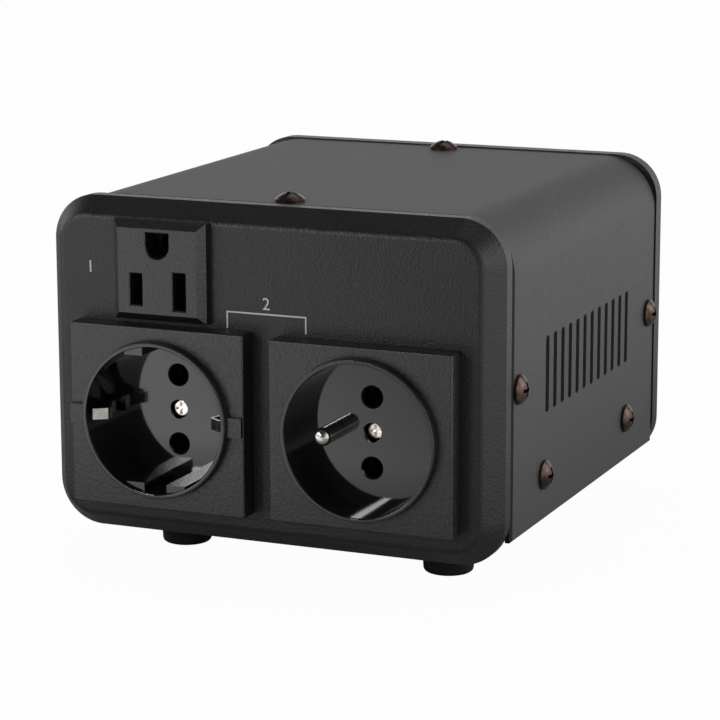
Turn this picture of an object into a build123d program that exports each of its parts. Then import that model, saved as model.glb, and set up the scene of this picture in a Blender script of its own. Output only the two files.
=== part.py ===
from build123d import *
import math
import os

# Desktop voltage converter: a bent steel cover between two moulded end panels, three outlet
# sockets in front, inlet, switch, breaker and voltage selector at the back, transformer inside.
# Millimetres. X runs right, Y runs back from the sockets, Z is up. The origin is on the table
# below the middle of the whole object.

# Case
case_width = 130.0
case_height = 91.4
case_length = 144.0  # face of the front panel to face of the rear panel
foot_clearance = 9.8  # table to the lower edge of the end panels
corner_radius = 12.5
slope_depth = 6.0
slope_inset = 4.6
face_fillet = 2.2
front_rim = 3.7
rear_rim = 4.6
panel_wall = 2.5
lip_wall = 2.0
lip_length = 3.5
lip_clearance = 0.25
boss_width = 10.0
boss_depth = 9.0
boss_reach = 5.6  # plastic behind the screw's axis

# Steel cover and base tray
cover_sheet = 1.0
cover_recess = 0.4
cover_gap = 0.5
cover_corner = 15.0
flange_width = 11.0
tray_sheet = 1.2
tray_clearance = 0.15
tray_side = 25.0
tray_end_gap = 0.6

# Cooling slots
slot_count = 12
slot_pitch = 6.2
slot_width = 2.7
slot_length = 20.8
slot_rise = 45.3  # middle of the slots above the panels' lower edge
slot_shift = 1.0
slot_corner = 1.0

# Screws and nuts
screw_shank = 1.95
screw_head = 4.0
screw_head_height = 2.6
screw_edge = 0.8
screw_grip = 8.0
recess_span = 4.4
recess_slot = 1.0
recess_depth = 1.5
hole_play = 0.25
thread_play = 0.05
nut_width = 7.0
nut_height = 3.2
panel_screw_setback = 16.4
base_screw_spacing = 71.0
base_screw_rise = 18.2

# Feet
foot_top = 7.45
foot_bottom = 6.8
foot_edge = 1.2
foot_bore = 4.4
foot_bore_depth = 5.4
foot_spacing = 79.0
foot_setback = 31.5

# Round sockets, shared sizes
well_wall = 2.0
ring_rise = 2.4
ring_land = 1.2
ring_cone = 0.3
plate_skin = 2.4
floor_thickness = 5.0
pin_spacing = 19.0
pin_hole = 2.75
pin_hole_chamfer = 0.4
plate_corner = 0.6
plate_edge = 0.5
ring_edge = 0.35
cutout_play = 0.3
snap_height = 1.1
snap_length = 4.0
snap_width = 8.0
snap_play = 0.1
snap_root = 0.5
cap_depth = 15.0
cap_wall = 1.8
cap_play = 0.2
sleeve_bore = 2.55
sleeve_wall = 0.7
sleeve_length = 12.0
tab_width = 4.8
tab_sheet = 0.8
tab_length = 3.4
tab_chamfer = 1.0
small_shank = 1.5
small_head = 2.45
small_head_height = 1.6
small_recess_span = 3.2
small_recess_slot = 0.8
small_recess_depth = 0.9
small_screw_length = 11.0
small_head_play = 0.2
small_nut_width = 5.5
small_nut_height = 2.4

# Side-earth socket
side_plate_width = 51.0
side_plate_height = 49.4
side_plate_rise = 6.2
side_x = -29.1
side_rise = 34.1
side_well = 19.9
side_depth = 15.6
side_screw_sink = 1.4
key_width = 5.3
key_spacing = 11.9
key_height = 2.6  # at the lowest point of the well
key_setback = 1.1
key_root = 1.0
bar_width = 5.2
bar_rise = 1.2
bar_margin = 0.2
clip_width = 3.0
clip_sheet = 0.8
clip_seat = 18.2
clip_reach = 14.9
clip_tip = 18.9
clip_bend = 1.6
clip_start = 1.8  # behind the mouth
clip_knee = 4.6
clip_heel = 10.5
strap_room = 0.4

# Pin-earth socket
pin_plate_width = 51.2
pin_plate_height = 48.6
pin_plate_rise = 6.2
pin_x = 29.3
pin_rise = 34.0
pin_well = 20.3
pin_depth = 11.1
pin_screw_sink = 2.4
earth_pin_radius = 2.4
earth_pin_offset = 10.0
earth_pin_length = 11.0
earth_pin_flat = 0.3
earth_tail = 5.0  # beyond the rear cap
earth_pin_collar = 3.4
earth_pin_collar_depth = 1.5

# Flat-blade socket
blade_width = 27.0
blade_height = 26.8
blade_x = -29.4
blade_rise = 73.4
blade_side = 2.0
blade_bevel = 2.0
blade_body_width = 23.4
blade_body_height = 23.2
blade_body_depth = 17.0
blade_cap_depth = 6.0
blade_pitch = 12.7
blade_drop = 5.0  # from the middle of the frame down to the blade slots
short_slot_length = 8.4
long_slot_length = 10.0
short_slot_width = 3.6
long_slot_width = 3.8
slot_skin = 8.0  # face of the socket to its contacts
ground_rise = 11.9
ground_width = 6.8
ground_height = 6.8
leaf_gap = 1.5
leaf_sheet = 0.6
leaf_height = 8.0
peg_radius = 1.5
peg_length = 4.0
peg_offset = 8.6
blade_chamfer = 0.3

# Inlet
inlet_x = -27.0
inlet_rise = 29.0
inlet_flange_width = 50.0
inlet_flange_height = 24.0
inlet_flange = 2.6
inlet_corner = 4.0
inlet_hole_spacing = 40.0
inlet_body_width = 28.0
inlet_body_height = 20.6
inlet_body_depth = 19.0
inlet_recess_width = 24.2
inlet_recess_height = 16.6
inlet_recess_depth = 17.0
inlet_chamfer = 4.0
inlet_pin_pitch = 7.0
inlet_pin_offset = 2.0
inlet_pin_width = 2.0
inlet_pin_height = 4.0
inlet_pin_reach = 13.5
inlet_pin_tail = 6.5
inlet_pin_chamfer = 0.5
inlet_edge = 0.6

# Rocker switch
switch_x = 38.0
switch_rise = 29.0
switch_flange_width = 15.0
switch_flange_height = 21.0
switch_flange = 2.0
switch_corner = 1.0
switch_edge = 0.5
switch_body_width = 12.8
switch_body_height = 19.0
switch_body_depth = 13.0
switch_wall = 1.2
rocker_play = 0.35
rocker_tilt = 11.0
rocker_rise = 0.2  # middle of the rocker above the flange
rocker_floor = 5.0
rocker_margin = 1.0  # outline beyond the rounded ends, which trim it
rocker_well_depth = 9.0
axle_depth = 2.5  # below the flange's outer face
axle_radius = 1.0
axle_play = 0.06
switch_tab_spacing = 7.0
tab_seat = 4.0

# Resettable breaker
breaker_x = 38.0
breaker_rise = 62.0
breaker_neck = 5.4
breaker_neck_reach = 3.6
breaker_collar = 8.4
breaker_collar_height = 2.2
breaker_body_width = 15.0
breaker_body_height = 22.0
breaker_body_depth = 18.0
breaker_tab_spacing = 12.0
button_radius = 3.4
button_play = 0.3
button_out = 5.0
button_travel = 2.5
button_stem = 6.0
button_room = 0.5
button_edge = 0.8

# Voltage selector
selector_x = -27.0
selector_rise = 62.0
selector_flange_width = 26.0
selector_flange_height = 13.0
selector_flange = 1.4
selector_corner = 1.5
selector_body_width = 20.0
selector_body_height = 10.0
selector_body_depth = 11.0
selector_window_width = 13.0
selector_window_height = 6.0
selector_window_depth = 6.0
slider_width = 6.6
slider_play = 0.3
slider_rise = 0.2
slider_groove = 1.2
slider_groove_depth = 0.7
slider_base_width = 11.0
slider_base = 2.0
selector_wall = 1.2
selector_front = 0.6  # body behind the flange, round the window
selector_board_sheet = 1.6
selector_tab_spacing = 6.0

# Transformer
core_width = 81.0
core_height = 67.5
core_stack = 44.0
core_leg = 13.5
core_shift = 3.0  # back from the middle of the case
bobbin_play = 0.3
bobbin_wall = 1.4
bobbin_corner = 2.0
coil_build = 11.2
primary_build = 5.2
tape_gap = 0.3
frame_sheet = 1.5
frame_upstand = 12.0
frame_foot = 8.4  # beyond the upstand, in front and behind
frame_bolt_spacing = 56.0
frame_bolt_inset = 4.2  # from the outer side of the upstand
bolt_end = 1.0  # beyond the nut

# Wires
wire_radius = 1.1
wire_bend = 3.0
wire_gap = 0.5  # wire to the coil
wire_lift = 0.1  # wire to the tray
wire_lane = 3.5  # middle to middle of wires that pass each other
tail_run = 5.0  # terminal to the wire's first turn
earth_run = 6.0
turn_run = 6.5  # one turn to the next
floor_run = 8.0  # wires that cross above the nuts: height over the tray
lead_rise = 8.75  # above the bobbin
middle_lead = 3.5
inner_lead = 8.0
outer_lead = 14.0
ring_radius = 5.0
ring_sheet = 0.8
ring_overlap = 0.6
ring_gap = 0.5
front_stud_setback = 25.0

# Worked out from the sizes above
front_reach = side_plate_rise + ring_rise
rear_reach = breaker_neck_reach + button_out
front_y = (front_reach - case_length - rear_reach) / 2
rear_y = front_y + case_length
middle_y = front_y + case_length / 2
middle_z = foot_clearance + case_height / 2
cover_half = case_width / 2 - cover_recess
cover_inner_half = cover_half - cover_sheet
cover_bottom = foot_clearance + cover_recess
cover_top = foot_clearance + case_height - cover_recess
cover_front = front_y + slope_depth + front_rim + cover_gap
cover_rear = rear_y - slope_depth - rear_rim - cover_gap
tray_half = cover_inner_half - tray_clearance
tray_bottom = cover_bottom + cover_sheet + tray_clearance
tray_top = tray_bottom + tray_sheet
tray_front = front_y + slope_depth + front_rim + lip_length + tray_end_gap
tray_rear = rear_y - slope_depth - rear_rim - lip_length - tray_end_gap
screw_hole = screw_shank + hole_play
screw_bore = screw_shank + thread_play
panel_screw_ys = (front_y + panel_screw_setback, rear_y - panel_screw_setback)
base_screw_ys = (middle_y - base_screw_spacing / 2, middle_y + base_screw_spacing / 2)
base_screw_z = foot_clearance + base_screw_rise
foot_ys = (front_y + foot_setback, rear_y - foot_setback)
foot_places = [(x, y) for x in (-foot_spacing / 2, foot_spacing / 2) for y in foot_ys]
side_z = foot_clearance + side_rise
pin_z = foot_clearance + pin_rise
blade_z = foot_clearance + blade_rise
side_tube = side_well + well_wall
pin_tube = pin_well + well_wall
side_floor_y = front_y - side_plate_rise - ring_rise + side_depth
pin_floor_y = front_y - pin_plate_rise - ring_rise + pin_depth
core_y = middle_y + core_shift
core_bottom = tray_top
core_middle_z = core_bottom + core_height / 2
window_height = core_height - 2 * core_leg
window_width = core_leg
tongue_width = core_width - 2 * core_leg - 2 * window_width
rear_wall_y = rear_y - panel_wall
inlet_z = foot_clearance + inlet_rise
switch_z = foot_clearance + switch_rise
breaker_z = foot_clearance + breaker_rise
selector_z = foot_clearance + selector_rise
foot_through = screw_shank + hole_play
frame_leg_x = core_width / 2 + frame_sheet
frame_back = core_stack / 2 + frame_sheet
frame_bolt_places = [(side * frame_bolt_spacing / 2, core_y + end * (frame_back + frame_bolt_inset))
                     for side in (-1, 1) for end in (-1, 1)]
front_stud_y = front_y + front_stud_setback
rear_stud_y = core_y + frame_back + frame_foot + ring_gap + ring_radius
stud_places = [(0, front_stud_y), (0, rear_stud_y)]
cap_relief = 2 * clip_sheet + strap_room
leaf_length = blade_side + blade_bevel + blade_body_depth - slot_skin


def facing_front(y, z=0.0, x=0.0):
    """Plane at depth y that looks towards the front; a negative amount extrudes backwards."""
    return Plane(origin=(x, y, z), x_dir=(1, 0, 0), z_dir=(0, -1, 0))


def facing_rear(y, z=0.0, x=0.0):
    """Plane at depth y that looks towards the back; its own x runs to the left."""
    return Plane(origin=(x, y, z), x_dir=(-1, 0, 0), z_dir=(0, 1, 0))


def end_panel(rim):
    """Moulded end panel with its face at y = 0, looking to -Y: sloped border, rim, lip, bosses."""
    rim_end = slope_depth + rim
    lip_half_width = cover_inner_half - lip_clearance
    lip_half_height = cover_inner_half - lip_clearance + (case_height - case_width) / 2
    lip_radius = cover_corner - cover_sheet - lip_clearance
    with BuildPart() as shell:
        with BuildSketch(facing_front(0, middle_z)):
            RectangleRounded(case_width - 2 * slope_inset, case_height - 2 * slope_inset,
                             corner_radius - slope_inset)
        with BuildSketch(facing_front(slope_depth, middle_z)):
            RectangleRounded(case_width, case_height, corner_radius)
        loft()
        with BuildSketch(facing_front(slope_depth, middle_z)):
            RectangleRounded(case_width, case_height, corner_radius)
        extrude(amount=-rim)
        fillet(shell.faces().sort_by(Axis.Y)[0].edges(), radius=face_fillet)
        inset = slope_inset + panel_wall
        with BuildSketch(facing_front(panel_wall, middle_z)):
            RectangleRounded(case_width - 2 * inset, case_height - 2 * inset, corner_radius - inset)
        with BuildSketch(facing_front(slope_depth, middle_z)):
            RectangleRounded(case_width - 2 * panel_wall, case_height - 2 * panel_wall,
                             corner_radius - panel_wall)
        loft(mode=Mode.SUBTRACT)
        with BuildSketch(facing_front(slope_depth, middle_z)):
            RectangleRounded(case_width - 2 * panel_wall, case_height - 2 * panel_wall,
                             corner_radius - panel_wall)
        extrude(amount=-rim, mode=Mode.SUBTRACT)
        with BuildSketch(facing_front(slope_depth, middle_z)):
            RectangleRounded(2 * lip_half_width, 2 * lip_half_height, lip_radius)
            RectangleRounded(2 * (lip_half_width - lip_wall), 2 * (lip_half_height - lip_wall),
                             lip_radius - lip_wall, mode=Mode.SUBTRACT)
        extrude(amount=-(rim + lip_length))
        boss_end = panel_screw_setback + boss_reach
        with BuildSketch(facing_front(slope_depth, middle_z)):
            with Locations((-lip_half_width + boss_depth / 2, 0), (lip_half_width - boss_depth / 2, 0)):
                Rectangle(boss_depth, boss_width)
            with Locations((0, lip_half_height - boss_depth / 2)):
                Rectangle(boss_width, boss_depth)
        extrude(amount=-(boss_end - slope_depth))
        with BuildSketch(Plane.YZ.offset(-lip_half_width)):
            with Locations((panel_screw_setback, middle_z)):
                Circle(screw_bore)
        extrude(amount=boss_depth, mode=Mode.SUBTRACT)
        with BuildSketch(Plane.YZ.offset(lip_half_width - boss_depth)):
            with Locations((panel_screw_setback, middle_z)):
                Circle(screw_bore)
        extrude(amount=boss_depth, mode=Mode.SUBTRACT)
        with BuildSketch(Plane.XY.offset(middle_z + lip_half_height - boss_depth)):
            with Locations((0, panel_screw_setback)):
                Circle(screw_bore)
        extrude(amount=boss_depth, mode=Mode.SUBTRACT)
    return shell.part


def pan_screw(head, head_height, shank, length, span, slot, depth):
    """Cross-recessed screw, head up, with the underside of its head at z = 0."""
    rise = head_height - screw_edge
    dome = (head**2 + rise**2) / (2 * rise)
    shoulder = head_height - dome + math.sqrt(dome**2 - (head / 2) ** 2)
    with BuildPart() as screw:
        with BuildSketch(Plane.XZ):
            with BuildLine():
                Polyline((0, head_height), (0, -length), (shank, -length), (shank, 0), (head, 0),
                         (head, screw_edge))
                ThreePointArc((head, screw_edge), (head / 2, shoulder), (0, head_height))
            make_face()
        revolve(axis=Axis.Z)
        with BuildSketch(Plane.XY.offset(head_height)):
            Rectangle(span, slot)
            Rectangle(slot, span)
        extrude(amount=-depth, mode=Mode.SUBTRACT)
    return screw.part


def hex_nut(width, height, bore):
    """Hexagon nut standing on z = 0."""
    with BuildPart() as nut:
        with BuildSketch():
            RegularPolygon(width / math.sqrt(3), 6)
            Circle(bore, mode=Mode.SUBTRACT)
        extrude(amount=height)
    return nut.part


def round_socket(plate_width, plate_height, plate_rise, well, depth, screw_sink):
    """Panel socket in its own frame: axis on the origin, panel face at y = 0, front towards -Y."""
    tube = well + well_wall
    mouth_y = -plate_rise - ring_rise
    floor_y = mouth_y + depth
    back_y = floor_y + floor_thickness
    ring_foot = well + ring_land + ring_cone
    with BuildPart() as socket:
        with BuildSketch(facing_front(0)):
            Rectangle(plate_width, plate_height)
        extrude(amount=plate_rise)
        fillet(socket.edges().filter_by(Axis.Y), radius=plate_corner)
        fillet(socket.faces().sort_by(Axis.Y)[0].edges(), radius=plate_edge)
        with BuildSketch(facing_front(0)):
            Rectangle(plate_width - 2 * plate_skin, plate_height - 2 * plate_skin)
        extrude(amount=plate_rise - plate_skin, mode=Mode.SUBTRACT)
        with BuildSketch(facing_front(-plate_rise)):
            Circle(ring_foot)
        with BuildSketch(facing_front(mouth_y)):
            Circle(well + ring_land)
        loft()
        with BuildSketch(facing_front(-plate_rise)):
            Circle(tube)
        extrude(amount=-(plate_rise + back_y))
        with BuildSketch(facing_front(mouth_y)):
            Circle(well)
        extrude(amount=-depth, mode=Mode.SUBTRACT)
        mouth_edge = socket.edges().filter_by(GeomType.CIRCLE).group_by(Axis.Y)[0]
        fillet(mouth_edge, radius=ring_edge)
        with BuildSketch(facing_front(floor_y)):
            with Locations((0, pin_spacing / 2), (0, -pin_spacing / 2)):
                Circle(pin_hole)
        extrude(amount=-floor_thickness, mode=Mode.SUBTRACT)
        rims = socket.edges().filter_by(GeomType.CIRCLE)
        rims = rims.filter_by(lambda edge: abs(edge.radius - pin_hole) < 0.01)
        chamfer(rims.group_by(Axis.Y)[0], length=pin_hole_chamfer)
        with BuildSketch(facing_front(floor_y)):
            Circle(small_head + small_head_play)
        extrude(amount=-(screw_sink + small_head_height), mode=Mode.SUBTRACT)
        with BuildSketch(facing_front(floor_y)):
            Circle(small_shank + thread_play)
        extrude(amount=-floor_thickness, mode=Mode.SUBTRACT)
        snap_y = panel_wall + snap_play
        with BuildSketch(facing_front(snap_y)):
            Circle(tube + snap_height)
            Circle(tube - snap_root, mode=Mode.SUBTRACT)
            Rectangle(2 * tube + 4 * snap_height, snap_width, mode=Mode.INTERSECT)
        extrude(amount=-snap_length)
    return socket.part


def socket_cap(radius):
    """Rear insulating cap, front rim at y = 0, with a bored block that holds the two sleeves."""
    relief = cap_relief
    block = 2 * (sleeve_bore + sleeve_wall + cap_wall)
    with BuildPart() as cap:
        with BuildSketch(facing_front(0)):
            Circle(radius)
        extrude(amount=-cap_depth)
        with BuildSketch(facing_front(0)):
            Circle(radius - cap_wall)
            Rectangle(block, pin_spacing + block, mode=Mode.SUBTRACT)
        extrude(amount=-(cap_depth - cap_wall), mode=Mode.SUBTRACT)
        with BuildSketch(facing_front(0)):
            Rectangle(block, pin_spacing + block)
        extrude(amount=-relief, mode=Mode.SUBTRACT)
        with BuildSketch(facing_front(0)):
            with Locations((0, pin_spacing / 2), (0, -pin_spacing / 2)):
                Circle(sleeve_bore + sleeve_wall + thread_play)
        extrude(amount=-(relief + sleeve_length), mode=Mode.SUBTRACT)
        with BuildSketch(facing_front(0)):
            with Locations((0, pin_spacing / 2), (0, -pin_spacing / 2)):
                Rectangle(tab_width + 2 * thread_play, tab_sheet + 2 * thread_play)
        extrude(amount=-cap_depth, mode=Mode.SUBTRACT)
        with BuildSketch(facing_front(0)):
            Circle(small_shank + thread_play)
        extrude(amount=-(cap_depth - cap_wall), mode=Mode.SUBTRACT)
        with BuildSketch(facing_front(0)):
            with Locations((-earth_pin_offset, 0)):
                Circle(earth_pin_radius + hole_play)
        extrude(amount=-cap_depth, mode=Mode.SUBTRACT)
    return cap.part


def contact_sleeves():
    """Pair of split contact sleeves with blade tabs at the back, front edges at y = 0."""
    with BuildPart() as sleeves:
        with BuildSketch(facing_front(0)):
            with Locations((0, pin_spacing / 2), (0, -pin_spacing / 2)):
                Circle(sleeve_bore + sleeve_wall)
                Circle(sleeve_bore, mode=Mode.SUBTRACT)
        extrude(amount=-sleeve_length)
        with BuildSketch(facing_front(sleeve_length - sleeve_wall)):
            with Locations((0, pin_spacing / 2), (0, -pin_spacing / 2)):
                Circle(sleeve_bore + sleeve_wall / 2)
        extrude(amount=-sleeve_wall)
        with BuildSketch(facing_front(sleeve_length - sleeve_wall)):
            with Locations((0, pin_spacing / 2), (0, -pin_spacing / 2)):
                Rectangle(tab_width, tab_sheet)
        extrude(amount=-(cap_depth - sleeve_length + sleeve_wall + tab_length))
        with BuildSketch(facing_front(0)):
            with Locations((0, pin_spacing / 2), (0, -pin_spacing / 2)):
                Rectangle(sleeve_wall, 3 * (sleeve_bore + sleeve_wall))
        extrude(amount=-(sleeve_length - 4 * sleeve_wall), mode=Mode.SUBTRACT)
    return sleeves.part


def flat_contact():
    """Folded blade contact with its tab, mouth at y = 0, standing on the blade's centre line."""
    with BuildPart() as contact:
        with BuildSketch(facing_front(0)):
            Rectangle(leaf_gap + 2 * leaf_sheet, leaf_height)
        extrude(amount=-leaf_length)
        with BuildSketch(facing_front(0)):
            Rectangle(leaf_gap, leaf_height)
        extrude(amount=-(leaf_length - leaf_sheet), mode=Mode.SUBTRACT)
        with BuildSketch(facing_front(leaf_length)):
            Rectangle(tab_sheet, tab_width)
        extrude(amount=-(blade_cap_depth + tab_length))
    return contact.part


def blade_tab():
    """Push-on terminal, seated end at y = 0, running towards the front."""
    with BuildPart() as tab:
        with BuildSketch(facing_front(0)):
            Rectangle(tab_width, tab_sheet)
        extrude(amount=tab_seat + tab_length)
        chamfer(tab.faces().sort_by(Axis.Y)[0].edges().filter_by(Axis.Z), length=tab_chamfer)
    return tab.part


def beside_cover(side, y, z):
    """Plane on the outside of the cover's left (-1) or right (1) wall, looking away from it."""
    return Plane(origin=(side * cover_half, y, z), x_dir=(0, 1, 0), z_dir=(side, 0, 0))


def wire_run(points):
    """Insulated wire: straight runs joined by bends."""
    with BuildPart() as wire:
        with BuildLine() as route:
            FilletPolyline(points, radius=wire_bend)
        start = route.line @ 0
        with BuildSketch(Plane(origin=start, z_dir=route.line % 0)):
            Circle(wire_radius)
        sweep()
    return wire.part


# End panels
with BuildPart() as front_panel:
    with Locations((0, front_y, 0)):
        add(end_panel(front_rim))
    with BuildSketch(facing_front(front_y)):
        with Locations((side_x, side_z)):
            Circle(side_tube + cutout_play)
        with Locations((pin_x, pin_z)):
            Circle(pin_tube + cutout_play)
        with Locations((blade_x, blade_z)):
            Rectangle(blade_body_width + 2 * cutout_play, blade_body_height + 2 * cutout_play)
    extrude(amount=-slope_depth, mode=Mode.SUBTRACT)
front_panel.part.label = "front_panel"
export_step(front_panel.part, "parts/front_panel.step")

rear_shell = end_panel(rear_rim).mirror(Plane.XZ)
with BuildPart() as rear_panel:
    with Locations((0, rear_y, 0)):
        add(rear_shell)
    with BuildSketch(facing_front(rear_y)):
        with Locations((inlet_x, inlet_z)):
            Rectangle(inlet_body_width + 2 * cutout_play, inlet_body_height + 2 * cutout_play)
            with GridLocations(inlet_hole_spacing, 1, 2, 1):
                Circle(small_shank + hole_play)
        with Locations((switch_x, switch_z)):
            Rectangle(switch_body_width + 2 * cutout_play, switch_body_height + 2 * cutout_play)
        with Locations((breaker_x, breaker_z)):
            Circle(breaker_neck + hole_play)
        with Locations((selector_x, selector_z)):
            Rectangle(selector_body_width + 2 * cutout_play, selector_body_height + 2 * cutout_play)
    extrude(amount=slope_depth, mode=Mode.SUBTRACT)
rear_panel.part.label = "rear_panel"
export_step(rear_panel.part, "parts/rear_panel.step")

# Bent steel cover with cooling slots in both sides
with BuildPart() as cover:
    with BuildSketch(facing_front(cover_front, middle_z)):
        RectangleRounded(2 * cover_half, case_height - 2 * cover_recess, cover_corner)
        RectangleRounded(2 * cover_inner_half, case_height - 2 * cover_recess - 2 * cover_sheet,
                         cover_corner - cover_sheet, mode=Mode.SUBTRACT)
        with Locations((0, -case_height / 2)):
            Rectangle(2 * (cover_inner_half - flange_width), 4 * cover_sheet, mode=Mode.SUBTRACT)
    extrude(amount=-(cover_rear - cover_front))
    with BuildSketch(Plane.YZ):
        with Locations((middle_y + slot_shift, foot_clearance + slot_rise)):
            with GridLocations(slot_pitch, slot_pitch, slot_count, 1):
                RectangleRounded(slot_width, slot_length, slot_corner)
        with Locations(*[(y, base_screw_z) for y in base_screw_ys]):
            Circle(screw_hole)
        with Locations(*[(y, middle_z) for y in panel_screw_ys]):
            Circle(screw_hole)
    extrude(amount=case_width, both=True, mode=Mode.SUBTRACT)
    with BuildSketch(Plane.XY.offset(middle_z)):
        with Locations(*[(0, y) for y in panel_screw_ys]):
            Circle(screw_hole)
    extrude(amount=case_height, mode=Mode.SUBTRACT)
cover.part.label = "cover"
export_step(cover.part, "parts/cover.step")

# Base tray inside the cover, with upturned sides
with BuildPart() as base_tray:
    with BuildSketch(facing_front(tray_front, middle_z)):
        tray_height = 2 * (middle_z - tray_bottom)
        tray_radius = cover_corner - cover_sheet - tray_clearance
        RectangleRounded(2 * tray_half, tray_height, tray_radius)
        RectangleRounded(2 * (tray_half - tray_sheet), tray_height - 2 * tray_sheet,
                         tray_radius - tray_sheet, mode=Mode.SUBTRACT)
        with Locations((0, (tray_side - tray_height) / 2)):
            Rectangle(2 * tray_half, tray_side, mode=Mode.INTERSECT)
    extrude(amount=-(tray_rear - tray_front))
    with BuildSketch(Plane.YZ):
        with Locations(*[(y, base_screw_z) for y in base_screw_ys]):
            Circle(screw_bore)
    extrude(amount=case_width, both=True, mode=Mode.SUBTRACT)
    with BuildSketch(Plane.XY.offset(tray_bottom)):
        with Locations(*foot_places, *frame_bolt_places, *stud_places):
            Circle(screw_shank + hole_play)
    extrude(amount=tray_sheet, mode=Mode.SUBTRACT)
base_tray.part.label = "base_tray"
export_step(base_tray.part, "parts/base_tray.step")

# Rubber feet with their screws and nuts
with BuildPart() as foot:
    with BuildSketch(Plane.XZ):
        with BuildLine():
            Polyline((foot_through, foot_bore_depth), (foot_bore, foot_bore_depth), (foot_bore, 0),
                     (foot_bottom, 0), (foot_top, tray_bottom), (foot_through, tray_bottom),
                     (foot_through, foot_bore_depth))
        make_face()
    revolve(axis=Axis.Z)
    fillet(foot.edges().filter_by(GeomType.CIRCLE).group_by(Axis.Z)[0].sort_by(SortBy.RADIUS)[-1],
           radius=foot_edge)
with BuildPart() as feet:
    with Locations(*foot_places):
        add(foot.part)
feet.part.label = "feet"
export_step(feet.part, "parts/feet.step")

foot_screw = pan_screw(screw_head, screw_head_height, screw_shank,
                       tray_top + nut_height + bolt_end - foot_bore_depth,
                       recess_span, recess_slot, recess_depth)
with BuildPart() as foot_screws:
    with Locations(*[Plane(origin=(x, y, foot_bore_depth), z_dir=(0, 0, -1)) for x, y in foot_places]):
        add(foot_screw)
foot_screws.part.label = "foot_screws"
export_step(foot_screws.part, "parts/foot_screws.step")

nut = hex_nut(nut_width, nut_height, screw_bore)
with BuildPart() as hex_nuts:
    with Locations(*[(x, y, tray_top) for x, y in foot_places]):
        add(nut)
    with Locations(*[(x, y, tray_top + frame_sheet) for x, y in frame_bolt_places]):
        add(nut)
    with Locations(*[(x, y, tray_top + ring_sheet) for x, y in stud_places]):
        add(nut)
hex_nuts.part.label = "hex_nuts"
export_step(hex_nuts.part, "parts/hex_nuts.step")

# Bolts up through the tray: transformer frame and two earth studs
tray_bolt = pan_screw(screw_head, screw_head_height, screw_shank,
                      tray_sheet + frame_sheet + nut_height + bolt_end,
                      recess_span, recess_slot, recess_depth)
with BuildPart() as tray_bolts:
    with Locations(*[Plane(origin=(x, y, tray_bottom), z_dir=(0, 0, -1))
                     for x, y in frame_bolt_places + stud_places]):
        add(tray_bolt)
tray_bolts.part.label = "tray_bolts"
export_step(tray_bolts.part, "parts/tray_bolts.step")

# Screws through the cover: into the end panels, and into the tray's sides
case_screw = pan_screw(screw_head, screw_head_height, screw_shank, screw_grip,
                       recess_span, recess_slot, recess_depth)
with BuildPart() as case_screws:
    with Locations(*[beside_cover(side, y, middle_z) for side in (-1, 1) for y in panel_screw_ys]):
        add(case_screw)
    with Locations(*[(0, y, cover_top) for y in panel_screw_ys]):
        add(case_screw)
    with Locations(*[beside_cover(side, y, base_screw_z) for side in (-1, 1) for y in base_screw_ys]):
        add(case_screw)
case_screws.part.label = "case_screws"
export_step(case_screws.part, "parts/case_screws.step")

# Socket with side earth contacts
side_mouth_y = front_y - side_plate_rise - ring_rise
side_back_y = side_floor_y + floor_thickness
clip_slot = clip_bend + 1.5 * clip_sheet
with BuildPart() as side_earth_socket:
    with Locations((side_x, front_y, side_z)):
        add(round_socket(side_plate_width, side_plate_height, side_plate_rise, side_well,
                         side_depth, side_screw_sink))
    with BuildSketch(facing_front(front_y - side_plate_rise, side_z, side_x)):
        Rectangle(side_plate_width - 2 * bar_margin, bar_width)
        Circle(side_well + ring_land / 2, mode=Mode.SUBTRACT)
    extrude(amount=bar_rise)
    with BuildSketch(facing_front(side_mouth_y + key_setback, side_z, side_x)):
        with GridLocations(key_spacing, 1, 2, 1):
            Rectangle(key_width, 2 * side_well)
            Rectangle(key_width, 2 * (side_well - key_height), mode=Mode.SUBTRACT)
        Circle(side_well + ring_land / 2, mode=Mode.INTERSECT)
    extrude(amount=-(side_depth - key_setback + key_root))
    with BuildSketch(facing_front(side_floor_y, side_z, side_x)):
        with GridLocations(2 * (clip_seat + clip_sheet) - clip_slot, 1, 2, 1):
            Rectangle(clip_slot, clip_width + clip_sheet)
    extrude(amount=-floor_thickness, mode=Mode.SUBTRACT)
side_earth_socket.part.label = "side_earth_socket"
export_step(side_earth_socket.part, "parts/side_earth_socket.step")

strap_y = side_back_y + clip_sheet / 2
clip_half = [(clip_tip, side_mouth_y + clip_start), (clip_reach, side_mouth_y + clip_knee),
             (clip_seat, side_mouth_y + clip_heel), (clip_seat, strap_y)]
clip_route = [(side_x - x, y) for x, y in clip_half] + [(side_x + x, y) for x, y in clip_half[::-1]]
with BuildPart() as side_earth_clip:
    with BuildSketch(Plane.XY.offset(side_z - clip_width / 2)):
        with BuildLine():
            FilletPolyline(clip_route, radius=clip_bend)
        trace(line_width=clip_sheet)
    extrude(amount=clip_width)
    with BuildSketch(facing_front(side_back_y, side_z, side_x)):
        Circle(3 * small_shank)
    extrude(amount=-clip_sheet)
    with BuildSketch(facing_front(side_back_y, side_z, side_x)):
        Circle(small_shank + thread_play)
    extrude(amount=-clip_sheet, mode=Mode.SUBTRACT)
    with BuildSketch(facing_front(side_back_y, side_z, side_x - earth_pin_offset)):
        Rectangle(clip_sheet, clip_width)
    extrude(amount=-(cap_depth + earth_tail))
side_earth_clip.part.label = "side_earth_clip"
export_step(side_earth_clip.part, "parts/side_earth_clip.step")

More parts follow.
